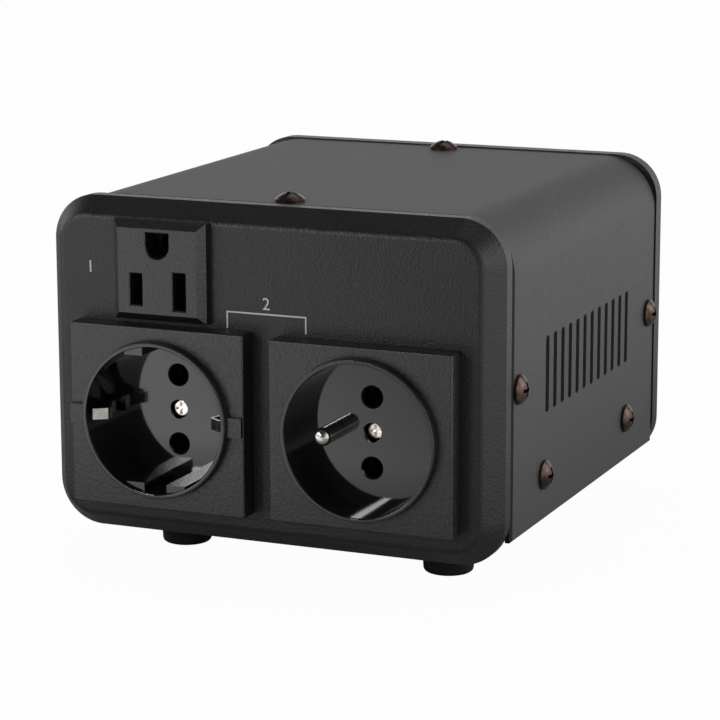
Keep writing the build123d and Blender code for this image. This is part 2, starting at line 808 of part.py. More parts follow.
# Socket with an earth pin
pin_mouth_y = front_y - pin_plate_rise - ring_rise
pin_back_y = pin_floor_y + floor_thickness
with BuildPart() as pin_earth_socket:
    with Locations((pin_x, front_y, pin_z)):
        add(round_socket(pin_plate_width, pin_plate_height, pin_plate_rise, pin_well,
                         pin_depth, pin_screw_sink))
    with BuildSketch(facing_front(pin_floor_y, pin_z, pin_x - earth_pin_offset)):
        Circle(earth_pin_radius + thread_play)
    extrude(amount=-floor_thickness, mode=Mode.SUBTRACT)
pin_earth_socket.part.label = "pin_earth_socket"
export_step(pin_earth_socket.part, "parts/pin_earth_socket.step")

with BuildPart() as earth_pin:
    with BuildSketch(facing_front(pin_floor_y - earth_pin_length, pin_z, pin_x - earth_pin_offset)):
        Circle(earth_pin_radius)
    extrude(amount=-(earth_pin_length + floor_thickness + cap_depth + earth_tail))
    fillet(earth_pin.faces().sort_by(Axis.Y)[0].edges(), radius=earth_pin_radius - earth_pin_flat)
    with BuildSketch(facing_front(pin_back_y, pin_z, pin_x - earth_pin_offset)):
        Circle(earth_pin_collar)
    extrude(amount=-earth_pin_collar_depth)
earth_pin.part.label = "earth_pin"
export_step(earth_pin.part, "parts/earth_pin.step")

# Contacts and rear caps of the two round sockets
socket_contacts = contact_sleeves()
with BuildPart() as side_earth_contacts:
    with Locations((side_x, side_back_y + cap_relief, side_z)):
        add(socket_contacts)
side_earth_contacts.part.label = "side_earth_contacts"
export_step(side_earth_contacts.part, "parts/side_earth_contacts.step")

with BuildPart() as side_earth_cap:
    with Locations((side_x, side_back_y, side_z)):
        add(socket_cap(side_tube - cap_play))
side_earth_cap.part.label = "side_earth_cap"
export_step(side_earth_cap.part, "parts/side_earth_cap.step")

with BuildPart() as pin_earth_contacts:
    with Locations((pin_x, pin_back_y + cap_relief, pin_z)):
        add(socket_contacts)
pin_earth_contacts.part.label = "pin_earth_contacts"
export_step(pin_earth_contacts.part, "parts/pin_earth_contacts.step")

with BuildPart() as pin_earth_cap:
    with Locations((pin_x, pin_back_y, pin_z)):
        add(socket_cap(pin_tube - cap_play))
pin_earth_cap.part.label = "pin_earth_cap"
export_step(pin_earth_cap.part, "parts/pin_earth_cap.step")

# Small screws: one in the middle of each round socket, two in the inlet's flange
small_screw = pan_screw(small_head, small_head_height, small_shank, small_screw_length,
                        small_recess_span, small_recess_slot, small_recess_depth)
inlet_screw_xs = (inlet_x - inlet_hole_spacing / 2, inlet_x + inlet_hole_spacing / 2)
with BuildPart() as small_screws:
    with Locations(facing_front(side_floor_y + side_screw_sink + small_head_height, side_z, side_x),
                   facing_front(pin_floor_y + pin_screw_sink + small_head_height, pin_z, pin_x)):
        add(small_screw)
    with Locations(*[facing_rear(rear_y + inlet_flange, inlet_z, x) for x in inlet_screw_xs]):
        add(small_screw)
small_screws.part.label = "small_screws"
export_step(small_screws.part, "parts/small_screws.step")

with BuildPart() as small_nuts:
    with Locations(*[facing_front(rear_wall_y, inlet_z, x) for x in inlet_screw_xs]):
        add(hex_nut(small_nut_width, small_nut_height, small_shank + thread_play))
small_nuts.part.label = "small_nuts"
export_step(small_nuts.part, "parts/small_nuts.step")

# Flat-blade socket, earth hole uppermost
blade_face_y = front_y - blade_side - blade_bevel
slot_z = blade_z - blade_drop
ground_z = slot_z + ground_rise
pocket_y = blade_face_y + slot_skin
blade_back_y = front_y + blade_body_depth
slot_places = [(blade_x - blade_pitch / 2, slot_z), (blade_x + blade_pitch / 2, slot_z)]
peg_places = [(blade_x - peg_offset, ground_z), (blade_x + peg_offset, ground_z)]
with BuildPart() as flat_blade_socket:
    with BuildSketch(facing_front(front_y, blade_z, blade_x)):
        Rectangle(blade_width, blade_height)
    extrude(amount=blade_side)
    with BuildSketch(facing_front(front_y - blade_side, blade_z, blade_x)):
        Rectangle(blade_width, blade_height)
    with BuildSketch(facing_front(blade_face_y, blade_z, blade_x)):
        Rectangle(blade_width - 2 * blade_bevel, blade_height - 2 * blade_bevel)
    loft()
    with BuildSketch(facing_front(front_y, blade_z, blade_x)):
        Rectangle(blade_body_width, blade_body_height)
    extrude(amount=-blade_body_depth)
    with BuildSketch(facing_front(front_y + panel_wall + snap_play, blade_z, blade_x)):
        with GridLocations(blade_body_width, 1, 2, 1):
            Rectangle(2 * snap_height, snap_width)
    extrude(amount=-snap_length)
    with BuildSketch(facing_front(blade_face_y)):
        with Locations(slot_places[0]):
            Rectangle(short_slot_width, short_slot_length)
        with Locations(slot_places[1]):
            Rectangle(long_slot_width, long_slot_length)
        with Locations((blade_x, ground_z)):
            Circle(ground_width / 2)
        with Locations((blade_x, ground_z + ground_height / 4)):
            Rectangle(ground_width, ground_height / 2)
    extrude(amount=-slot_skin, mode=Mode.SUBTRACT)
    mouths = flat_blade_socket.faces().sort_by(Axis.Y)[0].inner_wires()
    chamfer([edge for wire in mouths for edge in wire.edges()], length=blade_chamfer)
    with BuildSketch(facing_front(pocket_y)):
        with Locations(*slot_places):
            Rectangle(leaf_gap + 2 * leaf_sheet + 2 * thread_play, leaf_height + 2 * thread_play)
        with Locations((blade_x, ground_z)):
            Circle(sleeve_bore + sleeve_wall + thread_play)
    extrude(amount=-leaf_length, mode=Mode.SUBTRACT)
    with BuildSketch(facing_front(blade_back_y)):
        with Locations(*peg_places):
            Circle(peg_radius + thread_play)
    extrude(amount=peg_length + thread_play, mode=Mode.SUBTRACT)
flat_blade_socket.part.label = "flat_blade_socket"
export_step(flat_blade_socket.part, "parts/flat_blade_socket.step")

with BuildPart() as flat_blade_contacts:
    with Locations(*[(x, pocket_y, z) for x, z in slot_places]):
        add(flat_contact())
    with BuildSketch(facing_front(pocket_y, ground_z, blade_x)):
        Circle(sleeve_bore + sleeve_wall)
    extrude(amount=-leaf_length)
    with BuildSketch(facing_front(pocket_y, ground_z, blade_x)):
        Circle(sleeve_bore)
    extrude(amount=-(leaf_length - leaf_sheet), mode=Mode.SUBTRACT)
    with BuildSketch(facing_front(blade_back_y, ground_z, blade_x)):
        Rectangle(tab_width, tab_sheet)
    extrude(amount=-(blade_cap_depth + tab_length))
flat_blade_contacts.part.label = "flat_blade_contacts"
export_step(flat_blade_contacts.part, "parts/flat_blade_contacts.step")

with BuildPart() as flat_blade_cap:
    with BuildSketch(facing_front(blade_back_y)):
        with Locations((blade_x, blade_z)):
            Rectangle(blade_body_width, blade_body_height)
        with Locations(*slot_places):
            Rectangle(tab_sheet + 2 * thread_play, tab_width + 2 * thread_play, mode=Mode.SUBTRACT)
        with Locations((blade_x, ground_z)):
            Rectangle(tab_width + 2 * thread_play, tab_sheet + 2 * thread_play, mode=Mode.SUBTRACT)
    extrude(amount=-blade_cap_depth)
    with BuildSketch(facing_front(blade_back_y)):
        with Locations(*peg_places):
            Circle(peg_radius)
    extrude(amount=peg_length)
flat_blade_cap.part.label = "flat_blade_cap"
export_step(flat_blade_cap.part, "parts/flat_blade_cap.step")

# Mains inlet with two cut corners on its earth side
inlet_face_y = rear_y + inlet_flange
inlet_floor_y = inlet_face_y - inlet_recess_depth
inlet_back_y = rear_y - inlet_body_depth
inlet_pin_places = [(inlet_x - inlet_pin_pitch, inlet_z - inlet_pin_offset),
                    (inlet_x + inlet_pin_pitch, inlet_z - inlet_pin_offset),
                    (inlet_x, inlet_z + inlet_pin_offset)]
half_width = inlet_recess_width / 2
half_height = inlet_recess_height / 2
with BuildPart() as inlet_body:
    with BuildSketch(facing_front(rear_y, inlet_z, inlet_x)):
        RectangleRounded(inlet_flange_width, inlet_flange_height, inlet_corner)
    extrude(amount=-inlet_flange)
    fillet(inlet_body.faces().sort_by(Axis.Y)[-1].edges(), radius=inlet_edge)
    with BuildSketch(facing_front(rear_y, inlet_z, inlet_x)):
        Rectangle(inlet_body_width, inlet_body_height)
    extrude(amount=inlet_body_depth)
    with BuildSketch(facing_front(inlet_face_y, inlet_z, inlet_x)):
        with BuildLine():
            Polyline((-half_width, -half_height), (half_width, -half_height),
                     (half_width, half_height - inlet_chamfer), (half_width - inlet_chamfer, half_height),
                     (inlet_chamfer - half_width, half_height), (-half_width, half_height - inlet_chamfer),
                     (-half_width, -half_height))
        make_face()
    extrude(amount=inlet_recess_depth, mode=Mode.SUBTRACT)
    with BuildSketch(facing_front(inlet_floor_y)):
        with Locations(*inlet_pin_places):
            Rectangle(inlet_pin_width + 2 * thread_play, inlet_pin_height + 2 * thread_play)
    extrude(amount=inlet_body_depth, mode=Mode.SUBTRACT)
    with BuildSketch(facing_front(inlet_face_y)):
        with Locations(*[(x, inlet_z) for x in inlet_screw_xs]):
            Circle(small_shank + hole_play)
    extrude(amount=inlet_flange, mode=Mode.SUBTRACT)
inlet_body.part.label = "inlet_body"
export_step(inlet_body.part, "parts/inlet_body.step")

with BuildPart() as inlet_pins:
    with BuildSketch(facing_front(inlet_floor_y + inlet_pin_reach)):
        with Locations(*inlet_pin_places):
            Rectangle(inlet_pin_width, inlet_pin_height)
    extrude(amount=inlet_floor_y + inlet_pin_reach - inlet_back_y + inlet_pin_tail)
    chamfer(inlet_pins.faces().filter_by(Axis.Y).group_by(Axis.Y)[-1].edges(), length=inlet_pin_chamfer)
inlet_pins.part.label = "inlet_pins"
export_step(inlet_pins.part, "parts/inlet_pins.step")

# Rocker switch
switch_face_y = rear_y + switch_flange
axle_y = switch_face_y - axle_depth
switch_window_width = switch_body_width - 2 * switch_wall
switch_window_height = switch_body_height - 2 * switch_wall
with BuildPart() as switch_frame:
    with BuildSketch(facing_front(rear_y, switch_z, switch_x)):
        Rectangle(switch_flange_width, switch_flange_height)
    extrude(amount=-switch_flange)
    fillet(switch_frame.edges().filter_by(Axis.Y), radius=switch_corner)
    fillet(switch_frame.faces().sort_by(Axis.Y)[-1].edges(), radius=switch_edge)
    with BuildSketch(facing_front(rear_y, switch_z, switch_x)):
        Rectangle(switch_body_width, switch_body_height)
    extrude(amount=switch_body_depth)
    with BuildSketch(facing_front(switch_face_y, switch_z, switch_x)):
        Rectangle(switch_window_width, switch_window_height)
    extrude(amount=rocker_well_depth, mode=Mode.SUBTRACT)
    with BuildSketch(Plane.YZ.offset(switch_x)):
        with Locations((axle_y, switch_z)):
            Circle(axle_radius + axle_play)
    extrude(amount=switch_body_width, both=True, mode=Mode.SUBTRACT)
    with BuildSketch(facing_front(rear_y - switch_body_depth, switch_z, switch_x)):
        with GridLocations(1, switch_tab_spacing, 1, 2):
            Rectangle(tab_width + 2 * thread_play, tab_sheet + 2 * thread_play)
    extrude(amount=-(tab_seat + thread_play), mode=Mode.SUBTRACT)
switch_frame.part.label = "switch_frame"
export_step(switch_frame.part, "parts/switch_frame.step")

rocker_width = switch_window_width - 2 * rocker_play
rocker_radius = switch_window_height / 2 - rocker_play
tilt = math.radians(rocker_tilt)
rocker_half = rocker_radius + rocker_margin
rocker_end = axle_depth + rocker_rise + rocker_half * math.tan(tilt)
with BuildPart() as switch_rocker:
    with BuildSketch(Plane(origin=(switch_x, axle_y, switch_z), z_dir=(1, 0, 0),
                           x_dir=(0, math.cos(tilt), -math.sin(tilt)))):
        with BuildLine():
            Polyline((axle_depth + rocker_rise, 0), (rocker_end, rocker_half),
                     (-rocker_floor, rocker_half), (-rocker_floor, -rocker_half),
                     (rocker_end, -rocker_half), (axle_depth + rocker_rise, 0))
        make_face()
        Circle(rocker_radius, mode=Mode.INTERSECT)
    extrude(amount=rocker_width / 2, both=True)
    with BuildSketch(Plane.YZ.offset(switch_x)):
        with Locations((axle_y, switch_z)):
            Circle(axle_radius)
    extrude(amount=switch_body_width / 2 - axle_play, both=True)
switch_rocker.part.label = "switch_rocker"
export_step(switch_rocker.part, "parts/switch_rocker.step")

# Resettable breaker
with BuildPart() as breaker_body:
    with BuildSketch(facing_front(rear_wall_y, breaker_z, breaker_x)):
        Rectangle(breaker_body_width, breaker_body_height)
    extrude(amount=breaker_body_depth)
    with BuildSketch(facing_front(rear_wall_y, breaker_z, breaker_x)):
        Circle(breaker_neck)
    extrude(amount=-(panel_wall + breaker_neck_reach))
    with BuildSketch(facing_front(rear_y + breaker_neck_reach, breaker_z, breaker_x)):
        Circle(button_radius + button_play)
    extrude(amount=breaker_neck_reach + panel_wall + button_stem + button_travel + button_room,
            mode=Mode.SUBTRACT)
    with BuildSketch(facing_front(rear_wall_y - breaker_body_depth, breaker_z, breaker_x)):
        with GridLocations(1, breaker_tab_spacing, 1, 2):
            Rectangle(tab_width + 2 * thread_play, tab_sheet + 2 * thread_play)
    extrude(amount=-(tab_seat + thread_play), mode=Mode.SUBTRACT)
breaker_body.part.label = "breaker_body"
export_step(breaker_body.part, "parts/breaker_body.step")

with BuildPart() as breaker_nut:
    with Locations(facing_rear(rear_y, breaker_z, breaker_x)):
        add(hex_nut(math.sqrt(3) * breaker_collar, breaker_collar_height, breaker_neck + thread_play))
breaker_nut.part.label = "breaker_nut"
export_step(breaker_nut.part, "parts/breaker_nut.step")

with BuildPart() as breaker_button:
    with BuildSketch(facing_front(rear_y + breaker_neck_reach + button_out, breaker_z, breaker_x)):
        Circle(button_radius)
    extrude(amount=button_out + breaker_neck_reach + panel_wall + button_stem)
    fillet(breaker_button.faces().sort_by(Axis.Y)[-1].edges(), radius=button_edge)
breaker_button.part.label = "breaker_button"
export_step(breaker_button.part, "parts/breaker_button.step")

# Voltage selector
selector_face_y = rear_y + selector_flange
selector_back_y = rear_y - selector_body_depth
cavity_width = selector_body_width - 2 * selector_wall
cavity_height = selector_body_height - 2 * selector_wall
cavity_y = rear_y - selector_front
with BuildPart() as selector_body:
    with BuildSketch(facing_front(rear_y, selector_z, selector_x)):
        RectangleRounded(selector_flange_width, selector_flange_height, selector_corner)
    extrude(amount=-selector_flange)
    with BuildSketch(facing_front(rear_y, selector_z, selector_x)):
        Rectangle(selector_body_width, selector_body_height)
    extrude(amount=selector_body_depth)
    with BuildSketch(facing_front(cavity_y, selector_z, selector_x)):
        Rectangle(cavity_width, cavity_height)
    extrude(amount=selector_body_depth, mode=Mode.SUBTRACT)
    with BuildSketch(facing_front(selector_face_y, selector_z, selector_x)):
        Rectangle(selector_window_width, selector_window_height)
    extrude(amount=selector_body_depth, mode=Mode.SUBTRACT)
selector_body.part.label = "selector_body"
export_step(selector_body.part, "parts/selector_body.step")

slider_travel = selector_window_width - slider_width - 2 * slider_play
slider_x = selector_x - slider_travel / 2
slider_top_y = selector_face_y + slider_rise
slider_base_y = cavity_y - slider_play
with BuildPart() as selector_slider:
    with BuildSketch(facing_front(slider_top_y, selector_z, slider_x)):
        Rectangle(slider_width, selector_window_height - 2 * slider_play)
    extrude(amount=slider_top_y - slider_base_y + slider_base)
    with BuildSketch(facing_front(slider_base_y, selector_z, slider_x)):
        Rectangle(slider_base_width, cavity_height - 2 * slider_play)
    extrude(amount=slider_base)
    with BuildSketch(facing_front(slider_top_y, selector_z, slider_x)):
        Rectangle(slider_groove, selector_window_height)
    extrude(amount=slider_groove_depth, mode=Mode.SUBTRACT)
selector_slider.part.label = "selector_slider"
export_step(selector_slider.part, "parts/selector_slider.step")

with BuildPart() as selector_board:
    with BuildSketch(facing_front(selector_back_y, selector_z, selector_x)):
        Rectangle(cavity_width - 2 * thread_play, cavity_height - 2 * thread_play)
        with GridLocations(selector_tab_spacing, 1, 3, 1):
            Rectangle(tab_sheet + 2 * thread_play, tab_width + 2 * thread_play, mode=Mode.SUBTRACT)
    extrude(amount=-selector_board_sheet)
selector_board.part.label = "selector_board"
export_step(selector_board.part, "parts/selector_board.step")

# Terminals of the switch, the breaker and the selector
switch_tab_y = rear_y - switch_body_depth
breaker_tab_y = rear_wall_y - breaker_body_depth
tab = blade_tab()
with BuildPart() as rear_terminals:
    with Locations((switch_x, switch_tab_y + tab_seat, switch_z - switch_tab_spacing / 2),
                   (switch_x, switch_tab_y + tab_seat, switch_z + switch_tab_spacing / 2),
                   (breaker_x, breaker_tab_y + tab_seat, breaker_z - breaker_tab_spacing / 2),
                   (breaker_x, breaker_tab_y + tab_seat, breaker_z + breaker_tab_spacing / 2)):
        add(tab)
    with Locations(*[Location((selector_x + step * selector_tab_spacing, selector_back_y + tab_seat, selector_z),
                              (0, 90, 0)) for step in (-1, 0, 1)]):
        add(tab)
rear_terminals.part.label = "rear_terminals"
export_step(rear_terminals.part, "parts/rear_terminals.step")

# Transformer
window_x = (tongue_width + window_width) / 2
with BuildPart() as transformer_core:
    with BuildSketch(facing_front(core_y, core_middle_z)):
        Rectangle(core_width, core_height)
        with Locations((-window_x, 0), (window_x, 0)):
            Rectangle(window_width, window_height, mode=Mode.SUBTRACT)
    extrude(amount=core_stack / 2, both=True)
transformer_core.part.label = "transformer_core"
export_step(transformer_core.part, "parts/transformer_core.step")

tube_width = tongue_width + 2 * (bobbin_play + bobbin_wall)
tube_depth = core_stack + 2 * (bobbin_play + bobbin_wall)
bobbin_height = window_height - 2 * bobbin_play
bobbin_bottom = core_bottom + core_leg + bobbin_play
bobbin_top = bobbin_bottom + bobbin_height
flange_reach = coil_build + bobbin_play
with BuildPart() as bobbin:
    with BuildSketch(Plane.XY.offset(bobbin_bottom)):
        with Locations((0, core_y)):
            Rectangle(tube_width, tube_depth)
    extrude(amount=bobbin_height)
    with BuildSketch(Plane.XY.offset(bobbin_bottom), Plane.XY.offset(bobbin_top - bobbin_wall)):
        with Locations((0, core_y)):
            RectangleRounded(tube_width + 2 * flange_reach, tube_depth + 2 * flange_reach, bobbin_corner)
    extrude(amount=bobbin_wall)
    with BuildSketch(Plane.XY.offset(bobbin_bottom)):
        with Locations((0, core_y)):
            Rectangle(tongue_width + 2 * bobbin_play, core_stack + 2 * bobbin_play)
    extrude(amount=bobbin_height, mode=Mode.SUBTRACT)
bobbin.part.label = "bobbin"
export_step(bobbin.part, "parts/bobbin.step")

winding_bottom = bobbin_bottom + bobbin_wall
winding_height = bobbin_height - 2 * bobbin_wall
with BuildPart() as primary_winding:
    with BuildSketch(Plane.XY.offset(winding_bottom)):
        with Locations((0, core_y)):
            RectangleRounded(tube_width + 2 * primary_build, tube_depth + 2 * primary_build, primary_build)
            Rectangle(tube_width, tube_depth, mode=Mode.SUBTRACT)
    extrude(amount=winding_height)
primary_winding.part.label = "primary_winding"
export_step(primary_winding.part, "parts/primary_winding.step")

secondary_start = primary_build + tape_gap
with BuildPart() as secondary_winding:
    with BuildSketch(Plane.XY.offset(winding_bottom)):
        with Locations((0, core_y)):
            RectangleRounded(tube_width + 2 * coil_build, tube_depth + 2 * coil_build, coil_build)
            RectangleRounded(tube_width + 2 * secondary_start, tube_depth + 2 * secondary_start,
                             secondary_start, mode=Mode.SUBTRACT)
    extrude(amount=winding_height)
secondary_winding.part.label = "secondary_winding"
export_step(secondary_winding.part, "parts/secondary_winding.step")

with BuildPart() as transformer_frame:
    with BuildSketch(facing_front(core_y, core_bottom)):
        with Locations((0, (core_height + frame_sheet) / 2)):
            Rectangle(2 * frame_leg_x, core_height + frame_sheet)
        with Locations((0, core_height / 2)):
            Rectangle(core_width, core_height, mode=Mode.SUBTRACT)
    extrude(amount=core_stack / 2, both=True)
    with BuildSketch(Plane.XY.offset(core_bottom)):
        with Locations((0, core_y)):
            Rectangle(2 * frame_leg_x, 2 * frame_back)
            Rectangle(2 * frame_leg_x, core_stack, mode=Mode.SUBTRACT)
    extrude(amount=frame_upstand)
    with BuildSketch(Plane.XY.offset(core_bottom)):
        with Locations((0, core_y)):
            Rectangle(2 * frame_leg_x, 2 * (frame_back + frame_foot))
            Rectangle(2 * frame_leg_x, core_stack, mode=Mode.SUBTRACT)
    extrude(amount=frame_sheet)
    with BuildSketch(Plane.XY.offset(tray_top)):
        with Locations(*frame_bolt_places):
            Circle(screw_shank + hole_play)
    extrude(amount=frame_sheet, mode=Mode.SUBTRACT)
transformer_frame.part.label = "transformer_frame"
export_step(transformer_frame.part, "parts/transformer_frame.step")

# Wires: supply side at the back, outlets in front, earth to two studs on the tray
inlet_tail_y = inlet_back_y - inlet_pin_tail
switch_tab_end = switch_tab_y - tab_length
breaker_tab_end = breaker_tab_y - tab_length
selector_tab_end = selector_back_y - tab_length
low_z = tray_top + wire_radius + wire_lift
crossing_z = tray_top + floor_run
lead_z = bobbin_top + lead_rise
coil_front_y = core_y - tube_depth / 2 - flange_reach
coil_rear_y = core_y + tube_depth / 2 + flange_reach
front_lane_y = coil_front_y - wire_gap - wire_radius
front_lead_y = front_lane_y + turn_run
rear_lane_y = coil_rear_y + wire_gap + wire_radius
rear_turn_y = rear_lane_y - turn_run
rear_lead_y = rear_turn_y + wire_lane
live_x = inlet_x + inlet_pin_pitch
neutral_x = inlet_x - inlet_pin_pitch
inlet_low_z = inlet_z - inlet_pin_offset
switch_low_z = switch_z - switch_tab_spacing / 2
switch_high_z = switch_z + switch_tab_spacing / 2
breaker_low_z = breaker_z - breaker_tab_spacing / 2
breaker_high_z = breaker_z + breaker_tab_spacing / 2
breaker_turn_y = breaker_tab_end - tail_run
near_tab_x = selector_x + selector_tab_spacing
far_tab_x = selector_x - selector_tab_spacing
near_turn_y = selector_tab_end - tail_run
far_turn_y = near_turn_y - wire_lane
near_turn_z = selector_z + turn_run
far_turn_z = near_turn_z + wire_lane
supply_routes = [
    [(live_x, inlet_tail_y, inlet_low_z), (live_x, rear_lane_y, inlet_low_z),
     (live_x, rear_lane_y, crossing_z), (switch_x, rear_lane_y, crossing_z),
     (switch_x, rear_lane_y, switch_low_z), (switch_x, switch_tab_end, switch_low_z)],
    [(switch_x, switch_tab_end, switch_high_z), (switch_x, breaker_turn_y, switch_high_z),
     (switch_x, breaker_turn_y, breaker_low_z), (breaker_x, breaker_tab_end, breaker_low_z)],
    [(breaker_x, breaker_tab_end, breaker_high_z), (breaker_x, rear_turn_y, breaker_high_z),
     (inner_lead, rear_turn_y, breaker_high_z), (inner_lead, rear_turn_y, bobbin_top)],
    [(neutral_x, inlet_tail_y, inlet_low_z), (neutral_x, rear_lane_y, inlet_low_z),
     (neutral_x, rear_lane_y, lead_z), (neutral_x, rear_turn_y, lead_z),
     (-inner_lead, rear_turn_y, lead_z), (-inner_lead, rear_turn_y, bobbin_top)],
    [(near_tab_x, selector_tab_end, selector_z), (near_tab_x, near_turn_y, selector_z),
     (near_tab_x, near_turn_y, near_turn_z), (near_tab_x, rear_lead_y, near_turn_z),
     (near_tab_x, rear_lead_y, bobbin_top)],
    [(far_tab_x, selector_tab_end, selector_z), (far_tab_x, far_turn_y, selector_z),
     (far_tab_x, far_turn_y, far_turn_z), (0, far_turn_y, far_turn_z),
     (0, rear_lead_y, far_turn_z), (0, rear_lead_y, bobbin_top)]]
with BuildPart() as supply_wires:
    for route_points in supply_routes:
        add(wire_run(route_points))
supply_wires.part.label = "supply_wires"
export_step(supply_wires.part, "parts/supply_wires.step")

sleeve_tail = cap_relief + cap_depth + tab_length
side_tail_y = side_back_y + sleeve_tail
pin_tail_y = pin_back_y + sleeve_tail
blade_tail_y = blade_back_y + blade_cap_depth + tab_length
blade_turn_y = blade_tail_y + tail_run
cross_turn_y = blade_turn_y + wire_lane
blade_turn_z = slot_z + turn_run
half_spacing = pin_spacing / 2
short_slot_x = slot_places[0][0]
long_slot_x = slot_places[1][0]
outlet_routes = [
    [(side_x, side_tail_y, side_z + half_spacing), (side_x, front_lane_y, side_z + half_spacing),
     (side_x, front_lane_y, lead_z), (-outer_lead, front_lane_y, lead_z),
     (-outer_lead, front_lead_y, lead_z), (-outer_lead, front_lead_y, bobbin_top)],
    [(side_x, side_tail_y, side_z - half_spacing), (side_x, front_lane_y, side_z - half_spacing),
     (-inner_lead, front_lane_y, side_z - half_spacing), (-inner_lead, front_lane_y, lead_z),
     (-inner_lead, front_lead_y, lead_z), (-inner_lead, front_lead_y, bobbin_top)],
    [(pin_x, pin_tail_y, pin_z + half_spacing), (pin_x, front_lane_y, pin_z + half_spacing),
     (pin_x, front_lane_y, lead_z), (outer_lead, front_lane_y, lead_z),
     (outer_lead, front_lead_y, lead_z), (outer_lead, front_lead_y, bobbin_top)],
    [(pin_x, pin_tail_y, pin_z - half_spacing), (pin_x, front_lane_y, pin_z - half_spacing),
     (inner_lead, front_lane_y, pin_z - half_spacing), (inner_lead, front_lane_y, lead_z),
     (inner_lead, front_lead_y, lead_z), (inner_lead, front_lead_y, bobbin_top)],
    [(short_slot_x, blade_tail_y, slot_z), (short_slot_x, cross_turn_y, slot_z),
     (-middle_lead, cross_turn_y, slot_z), (-middle_lead, front_lead_y, slot_z),
     (-middle_lead, front_lead_y, bobbin_top)],
    [(long_slot_x, blade_tail_y, slot_z), (long_slot_x, blade_turn_y, slot_z),
     (long_slot_x, blade_turn_y, blade_turn_z), (middle_lead, blade_turn_y, blade_turn_z),
     (middle_lead, front_lead_y, blade_turn_z), (middle_lead, front_lead_y, bobbin_top)]]
with BuildPart() as outlet_wires:
    for route_points in outlet_routes:
        add(wire_run(route_points))
outlet_wires.part.label = "outlet_wires"
export_step(outlet_wires.part, "parts/outlet_wires.step")

clip_tail_x = side_x - earth_pin_offset
clip_tail_y = side_back_y + cap_depth + earth_tail
clip_turn_y = clip_tail_y + earth_run
earth_pin_x = pin_x - earth_pin_offset
earth_pin_end = pin_back_y + cap_depth + earth_tail
pin_turn_y = earth_pin_end + earth_run
ring_entry = ring_radius - ring_overlap
earth_routes = [
    [(inlet_x, inlet_tail_y, inlet_z + inlet_pin_offset), (inlet_x, rear_stud_y, inlet_z + inlet_pin_offset),
     (inlet_x, rear_stud_y, low_z), (-ring_entry, rear_stud_y, low_z)],
    [(clip_tail_x, clip_tail_y, side_z), (clip_tail_x, clip_turn_y, side_z), (clip_tail_x, clip_turn_y, low_z),
     (-outer_lead, clip_turn_y, low_z), (-outer_lead, front_stud_y, low_z), (-ring_entry, front_stud_y, low_z)],
    [(earth_pin_x, earth_pin_end, pin_z), (earth_pin_x, pin_turn_y, pin_z), (earth_pin_x, pin_turn_y, low_z),
     (earth_pin_x, front_stud_y, low_z), (ring_entry, front_stud_y, low_z)],
    [(blade_x, blade_tail_y, ground_z), (blade_x, cross_turn_y, ground_z), (0, cross_turn_y, ground_z),
     (0, cross_turn_y, low_z), (0, front_stud_y + ring_entry, low_z)]]
with BuildPart() as earth_wires:
    for route_points in earth_routes:
        add(wire_run(route_points))
    with BuildSketch(Plane.XY.offset(tray_top)):
        with Locations(*stud_places):
            Circle(ring_radius)
    extrude(amount=ring_sheet)
    with BuildSketch(Plane.XY.offset(tray_top)):
        with Locations(*stud_places):
            Circle(screw_bore)
    extrude(amount=ring_sheet, mode=Mode.SUBTRACT)
earth_wires.part.label = "earth_wires"
export_step(earth_wires.part, "parts/earth_wires.step")
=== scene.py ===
import math

import bmesh
import bpy
from mathutils import Matrix, Vector


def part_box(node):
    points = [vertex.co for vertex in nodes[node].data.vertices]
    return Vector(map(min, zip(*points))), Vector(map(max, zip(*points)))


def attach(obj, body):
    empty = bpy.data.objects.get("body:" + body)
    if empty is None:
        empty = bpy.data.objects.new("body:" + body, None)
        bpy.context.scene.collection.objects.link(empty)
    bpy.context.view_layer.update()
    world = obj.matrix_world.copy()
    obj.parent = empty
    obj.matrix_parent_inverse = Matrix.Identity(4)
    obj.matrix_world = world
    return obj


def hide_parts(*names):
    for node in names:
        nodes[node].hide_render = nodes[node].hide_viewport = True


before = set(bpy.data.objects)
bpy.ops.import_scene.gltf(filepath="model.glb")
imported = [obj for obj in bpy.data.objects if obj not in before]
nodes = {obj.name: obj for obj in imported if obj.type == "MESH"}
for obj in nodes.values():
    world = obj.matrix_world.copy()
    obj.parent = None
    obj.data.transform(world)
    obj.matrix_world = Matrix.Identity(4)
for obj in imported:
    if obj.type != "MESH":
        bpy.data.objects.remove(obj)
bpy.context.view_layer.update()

scene = bpy.context.scene
mm = 0.001
print("frame loaded:", len(nodes), "nodes")


# Small tools for the materials

def newMaterial(name):
    material = bpy.data.materials.new(name)
    material.use_nodes = True
    tree = material.node_tree
    return material, tree, tree.nodes["Principled BSDF"]


def feed(tree, value, socket):
    # value is a number, a colour or the output of another node
    if isinstance(value, bpy.types.NodeSocket):
        tree.links.new(value, socket)
    elif isinstance(value, tuple):
        socket.default_value = (*value, 1)
    else:
        socket.default_value = value


def objectPosition(tree):
    return tree.nodes.new("ShaderNodeTexCoord").outputs["Object"]


def coordinates(tree, position):
    # the outputs X, Y and Z
    parts = tree.nodes.new("ShaderNodeSeparateXYZ")
    tree.links.new(position, parts.inputs["Vector"])
    return parts.outputs


def noise(tree, position, size, detail=3.0, roughness=0.55):
    # size is the width of one grain in millimetres
    texture = tree.nodes.new("ShaderNodeTexNoise")
    texture.inputs["Scale"].default_value = 1 / (size * mm)
    texture.inputs["Detail"].default_value = detail
    texture.inputs["Roughness"].default_value = roughness
    tree.links.new(position, texture.inputs["Vector"])
    return texture.outputs["Fac"]


